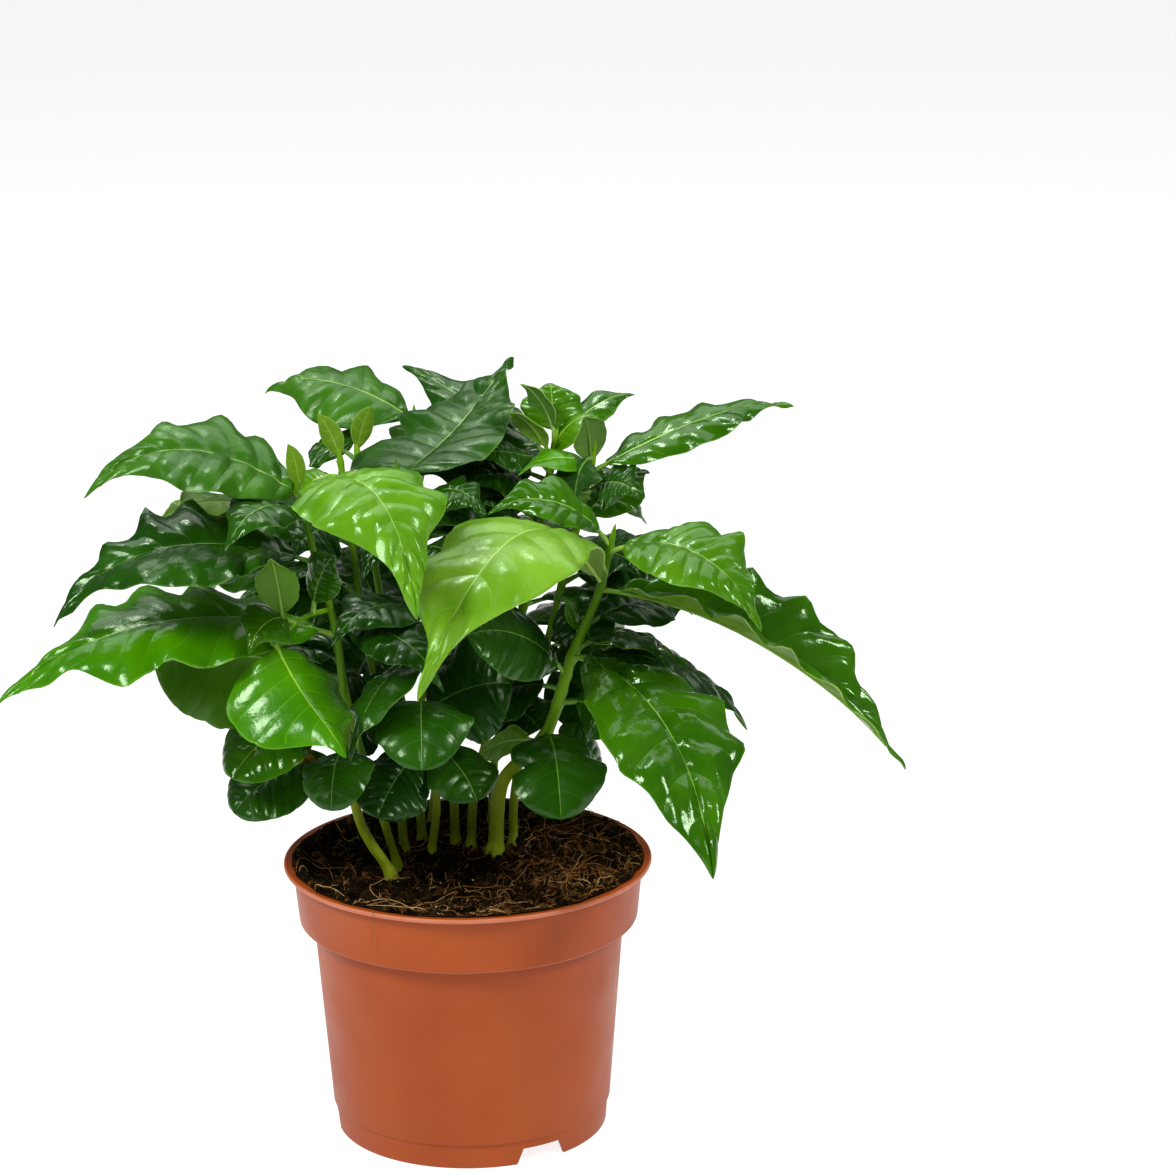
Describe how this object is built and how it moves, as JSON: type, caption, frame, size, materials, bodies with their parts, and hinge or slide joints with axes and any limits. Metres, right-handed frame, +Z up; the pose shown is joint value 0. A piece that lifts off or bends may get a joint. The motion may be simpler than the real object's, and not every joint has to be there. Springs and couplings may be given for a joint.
{
  "type": "potted coffee plant",
  "caption": "Young bushy coffee plant: bare green stems rise from dark soil in a tapered terracotta-coloured nursery pot and carry glossy, wavy-edged leaves.",
  "frame": {"origin": "middle of the pot's underside, on the surface that the pot stands on", "axes": "+Z up along the pot's axis, -Y towards the side that the picture shows, +X to its right"},
  "size_m": [0.2887, 0.2159, 0.2435],
  "materials": {
    "pot": "satin terracotta-coloured moulded plastic",
    "soil": "rough fibrous peat",
    "stem": "smooth green bark",
    "leaf": "glossy leaf"
  },
  "bodies": {
    "root": {"pot": "pot", "soil": "soil", "stem_left": "stem", "stem_low_left": "stem", "stem_back_left": "stem", "stem_back_middle": "stem", "stem_back": "stem", "stem_front": "stem", "stem_middle": "stem", "stem_back_right": "stem", "stem_main": "stem", "stem_right": "stem", "stem_far_right": "stem", "crown_left": "leaf", "crown_low_left": "leaf", "crown_back_left": "leaf", "crown_back_middle": "leaf", "crown_back": "leaf", "crown_front": "leaf", "crown_middle": "leaf", "crown_back_right": "leaf", "crown_main": "leaf", "crown_right": "leaf", "crown_far_right": "leaf"}
  },
  "joints": []
}
